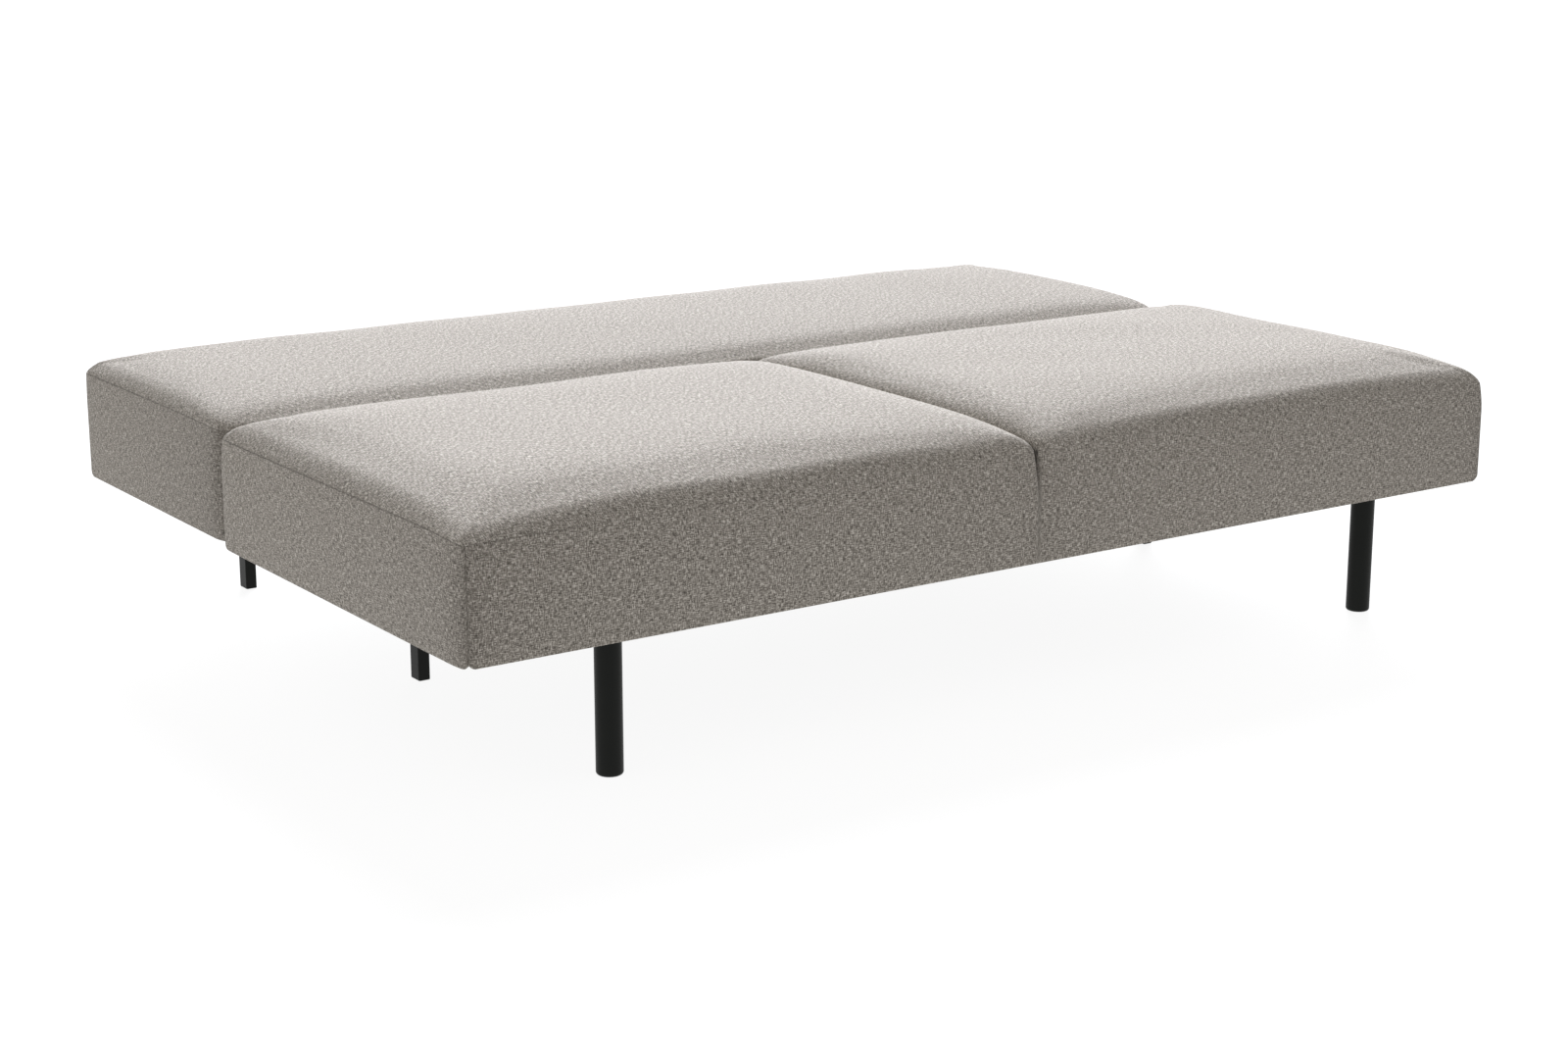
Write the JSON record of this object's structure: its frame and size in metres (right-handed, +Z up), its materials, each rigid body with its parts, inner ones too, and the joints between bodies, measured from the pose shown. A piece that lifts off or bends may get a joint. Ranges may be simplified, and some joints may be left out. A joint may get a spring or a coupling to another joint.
{
  "type": "sofa bed",
  "caption": "Sofa bed laid flat: crowned fabric seat pads and a folding back of the same height, on round front legs and a black tube base.",
  "frame": {"origin": "on the floor, under the middle of the flat bed's outline", "axes": "+X along the width to the right seen from the front, +Y from the front edge to the rear of the lowered back, +Z up"},
  "size_m": [2, 1.4, 0.436],
  "materials": {
    "grey_weave": "matte woven melange",
    "black_lining": "matte non-woven",
    "foam": "matte",
    "black_steel": "satin powder coat",
    "black_plastic": "satin",
    "timber": "raw",
    "zinc_steel": "zinc plated",
    "spring_steel": "drawn wire",
    "rubber": "matte"
  },
  "bodies": {
    "base": {"seat_front_rail": "timber", "seat_rear_rail": "timber", "seat_centre_rail": "timber", "seat_end_rail_left": "timber", "seat_end_rail_right": "timber", "seat_bearer_left": "timber", "seat_bearer_right": "timber", "seat_corner_blocks": "timber", "seat_springs": "spring_steel", "seat_spring_clips": "black_plastic", "seat_foam_left": "foam", "seat_foam_right": "foam", "seat_cover": "grey_weave", "seat_lining": "black_lining", "side_rail_left": "black_steel", "side_rail_right": "black_steel", "middle_leg_left": "black_steel", "middle_leg_right": "black_steel", "rear_leg_left": "black_steel", "rear_leg_right": "black_steel", "middle_foot_cap_left": "black_plastic", "middle_foot_cap_right": "black_plastic", "rear_foot_cap_left": "black_plastic", "rear_foot_cap_right": "black_plastic", "front_cross_tube": "black_steel", "rear_cross_tube": "black_steel", "rail_end_caps": "black_plastic", "rest_pads": "rubber", "base_bolts": "zinc_steel", "front_leg_left": "black_plastic", "front_leg_right": "black_plastic", "leg_studs": "zinc_steel", "leg_plates": "zinc_steel", "leg_plate_screws": "zinc_steel", "seat_arm_bolts": "zinc_steel", "hinge_seat_arm_left": "black_steel", "hinge_seat_arm_right": "black_steel", "hinge_pin_left": "zinc_steel", "hinge_pin_right": "zinc_steel", "hinge_washers": "zinc_steel"},
    "backrest": {"back_front_rail": "timber", "back_rear_rail": "timber", "back_centre_rail": "timber", "back_end_rail_left": "timber", "back_end_rail_right": "timber", "back_bearer_left": "timber", "back_bearer_right": "timber", "back_corner_blocks": "timber", "back_springs": "spring_steel", "back_spring_clips": "black_plastic", "back_foam": "foam", "back_cover": "grey_weave", "back_lining": "black_lining", "hinge_back_arm_left": "black_steel", "hinge_back_arm_right": "black_steel", "back_arm_bolts": "zinc_steel"}
  },
  "joints": [
    {"name": "backrest_fold", "type": "hinge", "parent": "base", "child": "backrest", "pos_m": [0, 0.109, 0.393], "axis": [1, 0, 0], "range_deg": [0, 72]}
  ]
}
